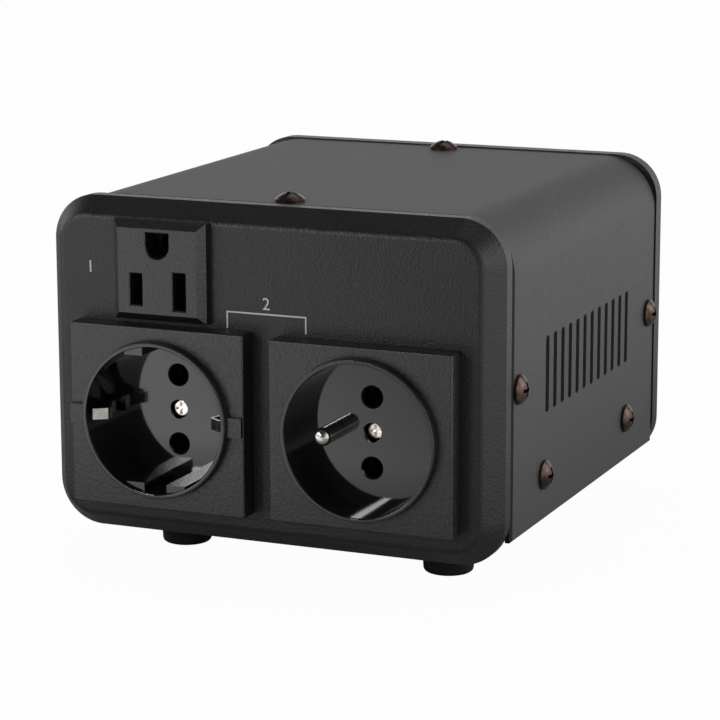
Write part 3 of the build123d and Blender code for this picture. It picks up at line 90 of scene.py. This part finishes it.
def spread(tree, value, low, high, start=0.3, end=0.7):
    # low where value is start and high where it is end; a noise lies mostly between 0.3 and 0.7
    node = tree.nodes.new("ShaderNodeMapRange")
    node.inputs["From Min"].default_value = start
    node.inputs["From Max"].default_value = end
    node.inputs["To Min"].default_value = low
    node.inputs["To Max"].default_value = high
    tree.links.new(value, node.inputs["Value"])
    return node.outputs["Result"]


def blend(tree, value, first, second, kind="FLOAT"):
    # first where value is 0 and second where it is 1; the kind is RGBA for colours
    node = tree.nodes.new("ShaderNodeMix")
    node.data_type = kind
    feed(tree, value, node.inputs["Factor"])
    feed(tree, first, node.inputs["A"])
    feed(tree, second, node.inputs["B"])
    return node.outputs["Result"]


def reckon(tree, operation, first, second):
    node = tree.nodes.new("ShaderNodeMath")
    node.operation = operation
    tree.links.new(first, node.inputs[0])
    tree.links.new(second, node.inputs[1])
    return node.outputs["Value"]


def reckonVector(tree, operation, first, second=(0, 0, 0)):
    node = tree.nodes.new("ShaderNodeVectorMath")
    node.operation = operation
    node.inputs[1].default_value = second
    tree.links.new(first, node.inputs[0])
    return node.outputs["Value" if operation in ("LENGTH", "DOT_PRODUCT") else "Vector"]


def bump(tree, height, strength, distance):
    # distance is the depth of the relief in millimetres
    node = tree.nodes.new("ShaderNodeBump")
    node.inputs["Distance"].default_value = distance * mm
    feed(tree, strength, node.inputs["Strength"])
    tree.links.new(height, node.inputs["Height"])
    return node.outputs["Normal"]


def insideRound(tree, position, centre, reach, fade):
    # 1 within reach of the line through centre along Y, and 0 further out
    offset = reckonVector(tree, "SUBTRACT", position, centre)
    flat = reckonVector(tree, "MULTIPLY", offset, (1, 0, 1))
    return spread(tree, reckonVector(tree, "LENGTH", flat), 1, 0, reach, reach + fade)


def surfaceMaterial(name, look, well=None):
    # one finish: two close colours in patches, a band of roughness, and a fine grain in relief;
    # well is a round area with a gloss of its own
    material, tree, shader = newMaterial(name)
    position = objectPosition(tree)
    patches = noise(tree, position, look["patchSize"])
    grain = noise(tree, position, look["grainSize"], detail=2.0)
    colour = blend(tree, spread(tree, patches, 0, 1), look["colour"], look["patchColour"], "RGBA")
    roughness = spread(tree, grain, *look["roughness"])
    strength = look["grainStrength"]
    if well:
        inside = insideRound(tree, position, well["centre"], well["reach"] * mm, well["fade"] * mm)
        smear = spread(tree, noise(tree, position, well["smearSize"]), *well["roughness"])
        roughness = blend(tree, inside, roughness, smear)
        strength = blend(tree, inside, strength, well["grainStrength"])
    feed(tree, colour, shader.inputs["Base Color"])
    feed(tree, roughness, shader.inputs["Roughness"])
    feed(tree, bump(tree, grain, strength, look["grainDepth"]), shader.inputs["Normal"])
    feed(tree, look.get("metallic", 0), shader.inputs["Metallic"])
    feed(tree, look.get("specular", 0.5), shader.inputs["Specular IOR Level"])
    return material


def dress(material, *names):
    # gives CAD nodes their material
    for name in names:
        mesh = nodes[name].data
        mesh.materials.clear()
        mesh.materials.append(material)


# Moulded end panels

mouldedPlastic = {"colour": (0.0105, 0.0105, 0.011), "patchColour": (0.014, 0.014, 0.0147),
                  "patchSize": 30, "roughness": (0.32, 0.46), "specular": 0.45,
                  "grainSize": 0.7, "grainStrength": 0.9, "grainDepth": 0.15}
dress(surfaceMaterial("mouldedPlastic", mouldedPlastic), "front_panel", "rear_panel")

# Powder-coated cover, with a painted shadow along its front edge where it meets the front panel

coverPaint = {"colour": (0.051, 0.051, 0.052), "patchColour": (0.058, 0.058, 0.059),
              "patchSize": 45, "roughness": (0.46, 0.6), "specular": 0.4,
              "grainSize": 0.7, "grainStrength": 0.6, "grainDepth": 0.1}
paintedJointShadow = {"width": 2.7, "fade": 0.3, "colour": (0.003, 0.003, 0.003), "roughness": 0.95}


def coverMaterial():
    material = surfaceMaterial("coverPaint", coverPaint)
    tree = material.node_tree
    shader = tree.nodes["Principled BSDF"]
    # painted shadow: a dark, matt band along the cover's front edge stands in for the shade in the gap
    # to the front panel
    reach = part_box("cover")[0].y + paintedJointShadow["width"] * mm
    along = coordinates(tree, objectPosition(tree))["Y"]
    inPaintedShadow = spread(tree, along, 1, 0, reach - paintedJointShadow["fade"] * mm, reach)
    for name, shadowValue, kind in (("Base Color", paintedJointShadow["colour"], "RGBA"),
                             ("Roughness", paintedJointShadow["roughness"], "FLOAT")):
        socket = shader.inputs[name]
        feed(tree, blend(tree, inPaintedShadow, socket.links[0].from_socket, shadowValue, kind), socket)
    return material


paintWithShadow = coverMaterial()
dress(paintWithShadow, "cover")

# Socket plates with a fine grain, and smooth shiny wells

socketPlastic = {"colour": (0.006, 0.006, 0.0063), "patchColour": (0.008, 0.008, 0.0084),
                 "patchSize": 25, "roughness": (0.32, 0.48), "specular": 0.72,
                 "grainSize": 0.8, "grainStrength": 0.9, "grainDepth": 0.13}
wellGloss = {"roughness": (0.05, 0.09), "smearSize": 9, "grainStrength": 0.02, "fade": 0.3}
wellReach = {"side_earth_socket": 20.4, "pin_earth_socket": 20.9}  # millimetres from the well's axis
for socket, reach in wellReach.items():
    low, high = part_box(socket)
    well = {**wellGloss, "centre": (low + high) / 2, "reach": reach}
    dress(surfaceMaterial(socket + "Plastic", socketPlastic, well), socket)
dress(surfaceMaterial("socketPlastic", socketPlastic), "flat_blade_socket", "inlet_body",
      "switch_frame", "switch_rocker")

# Plain plastic of the caps and bodies inside

innerPlastic = {"colour": (0.02, 0.02, 0.02), "patchColour": (0.027, 0.027, 0.028),
                "patchSize": 12, "roughness": (0.45, 0.6),
                "grainSize": 0.8, "grainStrength": 0.2, "grainDepth": 0.04}
dress(surfaceMaterial("innerPlastic", innerPlastic), "side_earth_cap", "pin_earth_cap",
      "flat_blade_cap", "breaker_body", "selector_body", "selector_board")

# Rubber feet

footRubber = {"colour": (0.008, 0.008, 0.008), "patchColour": (0.013, 0.013, 0.0125),
              "patchSize": 8, "roughness": (0.7, 0.85), "specular": 0.3,
              "grainSize": 0.7, "grainStrength": 0.4, "grainDepth": 0.06}
dress(surfaceMaterial("footRubber", footRubber), "feet")

# Metals

brownedSteel = {"colour": (0.11, 0.07, 0.055), "patchColour": (0.035, 0.022, 0.02),
                "patchSize": 1.6, "roughness": (0.16, 0.3), "metallic": 0.8,
                "grainSize": 0.5, "grainStrength": 0.15, "grainDepth": 0.03}
dress(surfaceMaterial("brownedSteel", brownedSteel), "case_screws")

zincPlate = {"colour": (0.5, 0.5, 0.51), "patchColour": (0.58, 0.57, 0.55),
             "patchSize": 5, "roughness": (0.28, 0.42), "metallic": 1,
             "grainSize": 0.6, "grainStrength": 0.12, "grainDepth": 0.03}
dress(surfaceMaterial("zincPlate", zincPlate), "base_tray", "foot_screws", "hex_nuts", "tray_bolts",
      "small_nuts", "transformer_frame")

brightScrew = {"colour": (0.93, 0.88, 0.84), "patchColour": (0.82, 0.75, 0.7),
               "patchSize": 2, "roughness": (0.22, 0.34), "metallic": 1,
               "grainSize": 0.5, "grainStrength": 0.1, "grainDepth": 0.02}
screwMetal = surfaceMaterial("brightScrew", brightScrew)
dress(screwMetal, "small_screws")

nickelPlate = {"colour": (0.72, 0.69, 0.66), "patchColour": (0.52, 0.49, 0.45),
               "patchSize": 1.8, "roughness": (0.15, 0.25), "metallic": 1,
               "grainSize": 0.8, "grainStrength": 0.06, "grainDepth": 0.02}
dress(surfaceMaterial("nickelPlate", nickelPlate), "side_earth_clip", "earth_pin", "inlet_pins",
      "breaker_nut")

contactBrass = {"colour": (0.1, 0.07, 0.035), "patchColour": (0.07, 0.05, 0.025),
                "patchSize": 4, "roughness": (0.45, 0.6), "metallic": 1,
                "grainSize": 0.7, "grainStrength": 0.1, "grainDepth": 0.02}
dress(surfaceMaterial("contactBrass", contactBrass), "side_earth_contacts", "pin_earth_contacts",
      "flat_blade_contacts", "rear_terminals")

# Red plastic of the controls at the back

redPlastic = {"colour": (0.42, 0.02, 0.015), "patchColour": (0.36, 0.017, 0.013),
              "patchSize": 6, "roughness": (0.3, 0.42),
              "grainSize": 0.6, "grainStrength": 0.1, "grainDepth": 0.02}
dress(surfaceMaterial("redPlastic", redPlastic), "breaker_button", "selector_slider")

# Transformer, whose sheets and turns are ridges in the relief

coreVarnish = {"colour": (0.05, 0.048, 0.046), "patchColour": (0.085, 0.08, 0.075),
               "patchSize": 14, "roughness": (0.3, 0.5), "metallic": 0.7,
               "grainSize": 0.9, "grainStrength": 0.2, "grainDepth": 0.04,
               "ridgesAlong": "Y", "ridgePitch": 0.5, "ridgeStrength": 0.6, "ridgeDepth": 0.08}
coilWire = {"colour": (0.36, 0.11, 0.035), "patchColour": (0.28, 0.08, 0.025),
            "patchSize": 9, "roughness": (0.25, 0.4), "metallic": 0.8,
            "grainSize": 0.9, "grainStrength": 0.1, "grainDepth": 0.03,
            "ridgesAlong": "Z", "ridgePitch": 0.9, "ridgeStrength": 0.9, "ridgeDepth": 0.3}
waveLength = 2 * math.pi / 20  # metres from band to band of the wave texture at scale 1


def ridgedMaterial(name, look):
    material = surfaceMaterial(name, look)
    tree = material.node_tree
    ridges = tree.nodes.new("ShaderNodeTexWave")
    ridges.bands_direction = look["ridgesAlong"]
    ridges.inputs["Scale"].default_value = waveLength / (look["ridgePitch"] * mm)
    tree.links.new(objectPosition(tree), ridges.inputs["Vector"])
    relief = bump(tree, ridges.outputs["Fac"], look["ridgeStrength"], look["ridgeDepth"])
    tree.links.new(relief, tree.nodes["Principled BSDF"].inputs["Normal"])
    return material


dress(ridgedMaterial("coreVarnish", coreVarnish), "transformer_core")
dress(ridgedMaterial("coilWire", coilWire), "primary_winding", "secondary_winding")

bobbinPlastic = {"colour": (0.62, 0.58, 0.48), "patchColour": (0.56, 0.52, 0.43),
                 "patchSize": 10, "roughness": (0.45, 0.6),
                 "grainSize": 0.7, "grainStrength": 0.1, "grainDepth": 0.03}
dress(surfaceMaterial("bobbinPlastic", bobbinPlastic), "bobbin")

# Wires

wireSleeve = {"patchSize": 9, "roughness": (0.35, 0.5),
              "grainSize": 0.6, "grainStrength": 0.1, "grainDepth": 0.02}
brownWire = {**wireSleeve, "colour": (0.1, 0.035, 0.012), "patchColour": (0.085, 0.03, 0.01)}
blueWire = {**wireSleeve, "colour": (0.012, 0.06, 0.3), "patchColour": (0.01, 0.05, 0.26)}
greenWire = {**wireSleeve, "colour": (0.03, 0.2, 0.02), "patchColour": (0.4, 0.36, 0.02)}
dress(surfaceMaterial("brownWire", brownWire), "supply_wires")
dress(surfaceMaterial("blueWire", blueWire), "outlet_wires")
dress(surfaceMaterial("greenWire", greenWire), "earth_wires")
print("materials done:", len(bpy.data.materials))


# Small tools for the pieces

def stackFaces(count, levels=2, first=0):
    # closed form over loops of count points each, one beyond the other, numbered from first on
    loops = [[first + level * count + i for i in range(count)] for level in range(levels)]
    sides = [(lower[i], lower[(i + 1) % count], upper[(i + 1) % count], upper[i])
             for lower, upper in zip(loops, loops[1:]) for i in range(count)]
    return sides + [tuple(reversed(loops[0])), tuple(loops[-1])]


def newMesh(name, points, faces, *materials):
    mesh = bpy.data.meshes.new(name)
    mesh.from_pydata(points, [], faces)
    for material in materials:
        mesh.materials.append(material)
    return mesh


def newObject(name, data):
    item = bpy.data.objects.new(name, data)
    scene.collection.objects.link(item)
    return item


# Small screws with flat heads, in the wells and in the inlet's flange

smallScrew = {"headRadius": 2.45, "headHeight": 1.6, "shankRadius": 1.5, "shankLength": 11.0,
              "edgeHeight": 0.9, "edgeRound": 0.6, "edgeSteps": 6, "roundSides": 40, "sharpAngle": 35,
              "recessSpan": 3.2, "recessSlot": 0.8, "recessDepth": 0.9,
              "front": [(-29.1, -62.0, 43.9), (29.3, -65.5, 43.8)],  # undersides of the heads
              "rear": [(-47, 74.6, 38.8), (-7, 74.6, 38.8)]}


def screwBlank():
    # loops from the shank's end up to the rounded rim of the head
    head, rim = smallScrew["headRadius"], smallScrew["edgeHeight"]
    rings = [(smallScrew["shankRadius"], -smallScrew["shankLength"]), (smallScrew["shankRadius"], 0),
             (head, 0), (head, rim)]
    for step in range(1, smallScrew["edgeSteps"] + 1):
        angle = math.pi / 2 * step / smallScrew["edgeSteps"]
        rings.append((head - smallScrew["edgeRound"] * (1 - math.cos(angle)),
                      rim + (smallScrew["headHeight"] - rim) * math.sin(angle)))
    count = smallScrew["roundSides"]
    points = [(radius * mm * math.cos(2 * math.pi * i / count),
               radius * mm * math.sin(2 * math.pi * i / count), height * mm)
              for radius, height in rings for i in range(count)]
    return newObject("screw_blank", newMesh("screw_blank", points, stackFaces(count, len(rings))))


def crossCutter():
    half = smallScrew["recessSpan"] / 2
    slot = smallScrew["recessSlot"] / 2
    outline = [(half, -slot), (half, slot), (slot, slot), (slot, half), (-slot, half),
               (-slot, slot), (-half, slot), (-half, -slot), (-slot, -slot), (-slot, -half),
               (slot, -half), (slot, -slot)]
    low = smallScrew["headHeight"] - smallScrew["recessDepth"]
    high = smallScrew["headHeight"] + smallScrew["recessDepth"]
    points = [(x * mm, y * mm, z * mm) for z in (low, high) for x, y in outline]
    return newObject("screw_cutter", newMesh("screw_cutter", points, stackFaces(len(outline))))


def oneScrew():
    blank = screwBlank()
    cutter = crossCutter()
    recess = blank.modifiers.new("recess", "BOOLEAN")
    recess.operation = "DIFFERENCE"
    recess.solver = "EXACT"
    recess.object = cutter
    mesh = bpy.data.meshes.new_from_object(blank.evaluated_get(bpy.context.evaluated_depsgraph_get()))
    for item in (blank, cutter):
        bpy.data.objects.remove(item)
    return mesh


def smallScrews():
    single = oneScrew()
    whole = bmesh.new()
    for key, angle in (("front", math.pi / 2), ("rear", -math.pi / 2)):
        for place in smallScrew[key]:
            copy = single.copy()
            copy.transform(Matrix.Translation(Vector(place) * mm) @ Matrix.Rotation(angle, 4, "X"))
            whole.from_mesh(copy)
    mesh = bpy.data.meshes.new("small_screws_flat")
    whole.to_mesh(mesh)
    whole.free()
    for face in mesh.polygons:
        face.use_smooth = True
    mesh.set_sharp_from_angle(angle=math.radians(smallScrew["sharpAngle"]))
    mesh.materials.append(screwMetal)
    piece = newObject("small_screws_flat", mesh)
    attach(piece, "case")
    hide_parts("small_screws")


smallScrews()
print("small screws done")


# Straight lower edges of the cover's sides, outside its bends

sideEdge = {"top": 15.0, "foot": 5.2,  # above the cover's underside
            "sheet": 1.2, "inset": 0.02,
            "tuck": 0.6, "tuckRise": 2.0, "innerDrop": 5.0}  # the top slants into the cover's sheet


def coverSideEdges():
    low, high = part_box("cover")
    top = low.z + sideEdge["top"] * mm
    foot = low.z + sideEdge["foot"] * mm
    points = []
    faces = []
    for side in (-1, 1):
        outer = side * (high.x - sideEdge["inset"] * mm)
        inner = outer - side * sideEdge["sheet"] * mm
        tucked = outer - side * sideEdge["tuck"] * mm
        profile = [(outer, top), (outer, foot), (inner, foot),
                   (inner, top - sideEdge["innerDrop"] * mm), (tucked, top + sideEdge["tuckRise"] * mm)]
        strip = stackFaces(len(profile), first=len(points))
        faces += strip if side == 1 else [tuple(reversed(face)) for face in strip]
        points += [(x, y, z) for y in (low.y, high.y) for x, z in profile]
    piece = newObject("cover_side_edges", newMesh("cover_side_edges", points, faces, paintWithShadow))
    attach(piece, "case")


coverSideEdges()
print("cover edges done")


# Printed line and figures on the front panel

frontPrint = {"thickness": 0.04, "lineWidth": 0.4,
              "left": -10.9, "right": 11.7, "foot": 59.2, "top": 63.6,  # above the panel's underside
              "figureSize": 4.6,
              "figures": {"printed_one": ("1", -51.3, 71.4),  # text, x and foot
                          "printed_two": ("2", 0.4, 64.8)}}
inkLook = {"colour": (0.55, 0.55, 0.55), "patchColour": (0.5, 0.5, 0.5),
           "patchSize": 4, "roughness": (0.45, 0.6),
           "grainSize": 0.3, "grainStrength": 0.1, "grainDepth": 0.01}
ink = surfaceMaterial("printedInk", inkLook)
faceY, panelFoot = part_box("front_panel")[0].yz


def printedBracket():
    # three joined strips, drawn as one outline and given a thickness
    half = frontPrint["lineWidth"] / 2
    left, right, foot, top = (frontPrint[key] for key in ("left", "right", "foot", "top"))
    outline = [(left - half, foot), (left - half, top + half), (right + half, top + half),
               (right + half, foot), (right - half, foot), (right - half, top - half),
               (left + half, top - half), (left + half, foot)]
    points = [(x * mm, y, panelFoot + z * mm)
              for y in (faceY - frontPrint["thickness"] * mm, faceY) for x, z in outline]
    mesh = newMesh("printed_bracket", points, stackFaces(len(outline)), ink)
    piece = newObject("printed_bracket", mesh)
    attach(piece, "case")


def printedFigures():
    for name, (figure, x, foot) in frontPrint["figures"].items():
        text = bpy.data.curves.new(name, "FONT")
        text.body = figure
        text.size = frontPrint["figureSize"] * mm
        text.extrude = frontPrint["thickness"] / 2 * mm
        text.align_x = "CENTER"
        text.materials.append(ink)
        piece = newObject(name, text)
        piece.location = (x * mm, faceY - frontPrint["thickness"] / 2 * mm, panelFoot + foot * mm)
        piece.rotation_euler = (math.pi / 2, 0, 0)
        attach(piece, "case")


printedBracket()
printedFigures()
print("front print done, panel foot at", round(panelFoot / mm, 2), "mm")


# Camera, at the photograph's place; near and far are in metres

cameraPlace = {"position": (302.47, -717.58, 213.53), "yaw": 23.11, "pitch": -12.07, "roll": -0.14,
               "lens": 139.08, "sensor": 36, "near": 0.01, "far": 50}


def makeCamera():
    data = bpy.data.cameras.new("camera")
    data.sensor_width = cameraPlace["sensor"]
    data.lens = cameraPlace["lens"]
    data.clip_start = cameraPlace["near"]
    data.clip_end = cameraPlace["far"]
    camera = newObject("camera", data)
    turn = Matrix.Rotation(math.radians(cameraPlace["yaw"]), 4, "Z")
    tilt = Matrix.Rotation(math.radians(90 + cameraPlace["pitch"]), 4, "X")
    roll = Matrix.Rotation(math.radians(cameraPlace["roll"]), 4, "Z")
    place = Matrix.Translation(Vector(cameraPlace["position"]) * mm)
    camera.matrix_world = place @ turn @ tilt @ roll
    scene.camera = camera


makeCamera()
print("camera done")


# Floor and room. What a gloss shows of them lies between the two ends of each span:
# in metres on the floor, and as parts of a direction in the room. On the floor it is a painted pool of
# light.

floorPaper = {"size": 6.0, "colour": (0.93, 0.93, 0.93), "patchColour": (0.88, 0.88, 0.88),
              "patchSize": 60, "roughness": 0.9, "specular": 0.1, "white": 0.97}
paintedFloorGlow = {"share": 0.5, "bright": 2.7, "dim": 0.2, "across": (1, -0.66, 0),
              "acrossSpan": (0.04, 0.2), "frontSpan": (-0.2, -0.12), "right": 1.7,
              "rightSpan": (0.1, 0.25)}
room = {"shade": 0.4, "horizon": 0.9, "top": 0.05, "topSpan": (0.3, 0.7),
        "front": 0.1, "frontSpan": (-0.9, -0.3), "right": 0.8, "rightSpan": (0.4, 0.9)}


def cameraRays(tree):
    return tree.nodes.new("ShaderNodeLightPath").outputs["Is Camera Ray"]


def seenRays(tree):
    # 1 for what the camera sees, straight on or in a gloss, and 0 for the light that falls on things
    rays = tree.nodes.new("ShaderNodeLightPath").outputs
    direct = reckon(tree, "MAXIMUM", rays["Is Camera Ray"], rays["Is Glossy Ray"])
    return reckon(tree, "MAXIMUM", direct, rays["Is Transmission Ray"])


def paintedLightPool(tree, position):
    # painted light: for gloss rays the floor glows brightly in front on the left, and beside the object
    # on the right
    across = reckonVector(tree, "DOT_PRODUCT", position, paintedFloorGlow["across"])
    pool = spread(tree, across, paintedFloorGlow["bright"], paintedFloorGlow["dim"], *paintedFloorGlow["acrossSpan"])
    place = coordinates(tree, position)
    inFront = reckon(tree, "MULTIPLY", pool, spread(tree, place["Y"], 1, 0, *paintedFloorGlow["frontSpan"]))
    beside = spread(tree, place["X"], 0, paintedFloorGlow["right"], *paintedFloorGlow["rightSpan"])
    return reckon(tree, "ADD", inFront, beside)


def makeFloor():
    half = floorPaper["size"] / 2
    corners = [(-half, -half, 0), (half, -half, 0), (half, half, 0), (-half, half, 0)]
    material, tree, shader = newMaterial("floorPaper")
    position = objectPosition(tree)
    patches = noise(tree, position, floorPaper["patchSize"])
    shade = blend(tree, patches, floorPaper["colour"], floorPaper["patchColour"], "RGBA")
    feed(tree, shade, shader.inputs["Base Color"])
    feed(tree, floorPaper["roughness"], shader.inputs["Roughness"])
    feed(tree, floorPaper["specular"], shader.inputs["Specular IOR Level"])
    onCamera = cameraRays(tree)
    # painted light: the floor's glow is plain white to the camera and the painted pool of light to
    # gloss rays
    white = tree.nodes.new("ShaderNodeEmission")
    feed(tree, blend(tree, onCamera, paintedLightPool(tree, position), 1), white.inputs["Strength"])
    glossShare = spread(tree, seenRays(tree), 0, paintedFloorGlow["share"], 0, 1)
    mix = tree.nodes.new("ShaderNodeMixShader")
    feed(tree, blend(tree, onCamera, glossShare, floorPaper["white"]), mix.inputs["Fac"])
    tree.links.new(shader.outputs["BSDF"], mix.inputs[1])
    tree.links.new(white.outputs["Emission"], mix.inputs[2])
    tree.links.new(mix.outputs["Shader"], tree.nodes["Material Output"].inputs["Surface"])
    floor = newObject("floor", newMesh("floor", corners, [(0, 1, 2, 3)], material))


def makeRoom():
    # plain white to the camera; in a gloss it is bright low down, dim in front and above,
    # and brightest on the right
    world = bpy.data.worlds.new("room")
    world.use_nodes = True
    scene.world = world
    tree = world.node_tree
    direction = coordinates(tree, tree.nodes.new("ShaderNodeTexCoord").outputs["Generated"])
    upward = spread(tree, direction["Z"], room["horizon"], room["top"], *room["topSpan"])
    forward = spread(tree, direction["Y"], room["front"], 1, *room["frontSpan"])
    sideways = spread(tree, direction["X"], 0, room["right"], *room["rightSpan"])
    gloss = reckon(tree, "ADD", reckon(tree, "MULTIPLY", upward, forward), sideways)
    seen = blend(tree, cameraRays(tree), gloss, 1)
    background = tree.nodes["Background"]
    feed(tree, (1, 1, 1), background.inputs["Color"])
    feed(tree, blend(tree, seenRays(tree), room["shade"], seen), background.inputs["Strength"])


# Lamps, with places in metres

lamps = {
    "frontLamp": {"from": (-0.5, -0.5, 0.4), "aim": (-0.1, -0.15, 0.0), "size": 0.3, "watts": 0.9},
    "windowLamp": {"from": (-0.56, -1.33, 0.45), "aim": (0, -0.08, 0.05), "size": 0.2, "watts": 2.6},
    "sideLamp": {"from": (1.3, 0.5, 0.6), "aim": (0, 0, 0.05), "size": 0.8, "watts": 4},
    "topLamp": {"from": (0.1, 0.6, 1.6), "aim": (0, 0, 0.05), "size": 1.0, "watts": 3},
}


def makeLamps():
    for name, lamp in lamps.items():
        data = bpy.data.lights.new(name, "AREA")
        data.size = lamp["size"]
        data.energy = lamp["watts"]
        item = newObject(name, data)
        item.location = lamp["from"]
        aim = Vector(lamp["aim"]) - item.location
        item.rotation_euler = aim.to_track_quat("-Z", "Y").to_euler()


makeFloor()
makeRoom()
makeLamps()
scene.view_settings.view_transform = "Standard"
print("floor, room and lamps done")
